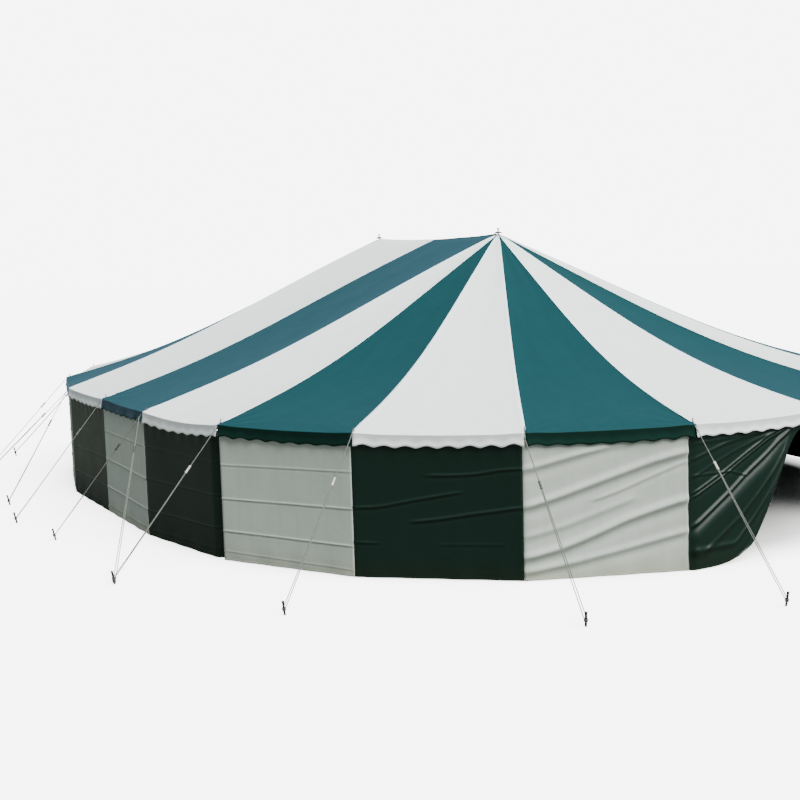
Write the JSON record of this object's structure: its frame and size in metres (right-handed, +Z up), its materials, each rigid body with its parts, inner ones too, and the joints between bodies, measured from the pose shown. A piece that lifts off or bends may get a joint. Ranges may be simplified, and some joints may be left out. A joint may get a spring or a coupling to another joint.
{
  "type": "marquee tent",
  "caption": "Traditional pole marquee with a striped sagging canvas roof, rounded ends, hung walls, an open doorway and pegged guy ropes.",
  "frame": {"origin": "on the ground under the middle of the ridge, at the bottom centre of the bounding box", "axes": "+Z up; +Y along the ridge, away from the rounded end that the doorway is in; +X to the right seen from that end"},
  "size_m": [17.4634, 22.8382, 4.97],
  "materials": {
    "roof_green": "coated woven canvas, dark teal green",
    "roof_white": "coated woven canvas, off-white",
    "wall_white": "coated woven wall cloth, off-white",
    "wall_green": "coated woven wall cloth, very dark green",
    "trim_tape": "woven binding tape",
    "pole_wood": "varnished softwood",
    "guy_rope": "laid rope",
    "steel": "galvanised"
  },
  "bodies": {
    "root": {"roof_near_panel_1": "roof_white", "roof_near_panel_2": "roof_green", "roof_near_panel_3": "roof_white", "roof_near_panel_4": "roof_green", "roof_near_panel_5": "roof_white", "roof_near_panel_6": "roof_green", "roof_near_panel_7": "roof_white", "roof_near_panel_8": "roof_green", "roof_near_panel_9": "roof_white", "roof_far_panel_1": "roof_green", "roof_far_panel_2": "roof_white", "roof_far_panel_3": "roof_green", "roof_far_panel_4": "roof_white", "roof_far_panel_5": "roof_green", "roof_far_panel_6": "roof_white", "roof_far_panel_7": "roof_green", "roof_far_panel_8": "roof_white", "roof_far_panel_9": "roof_green", "roof_middle_near": "roof_green", "roof_middle_far": "roof_white", "wall_left_side": "wall_white", "wall_near_left": "wall_white", "entrance_curtain": "wall_green", "wall_near_right": "wall_white", "wall_right_side": "wall_white", "wall_far_right": "wall_white", "wall_far_middle": "wall_white", "wall_far_left": "wall_white", "king_pole_near": "pole_wood", "king_pole_far": "pole_wood", "ridge_pole": "pole_wood", "side_pole_guy_01": "pole_wood", "side_pole_guy_02": "pole_wood", "side_pole_guy_03": "pole_wood", "side_pole_guy_04": "pole_wood", "side_pole_guy_05": "pole_wood", "side_pole_guy_06": "pole_wood", "side_pole_guy_07": "pole_wood", "side_pole_guy_08": "pole_wood", "side_pole_guy_09": "pole_wood", "side_pole_guy_10": "pole_wood", "side_pole_guy_11": "pole_wood", "side_pole_guy_12": "pole_wood", "side_pole_guy_13": "pole_wood", "side_pole_guy_14": "pole_wood", "side_pole_guy_15": "pole_wood", "side_pole_guy_16": "pole_wood", "side_pole_guy_17": "pole_wood", "side_pole_guy_18": "pole_wood", "side_pole_guy_19": "pole_wood", "side_pole_guy_20": "pole_wood", "side_pole_guy_21": "pole_wood", "side_pole_guy_22": "pole_wood"}
  },
  "joints": []
}
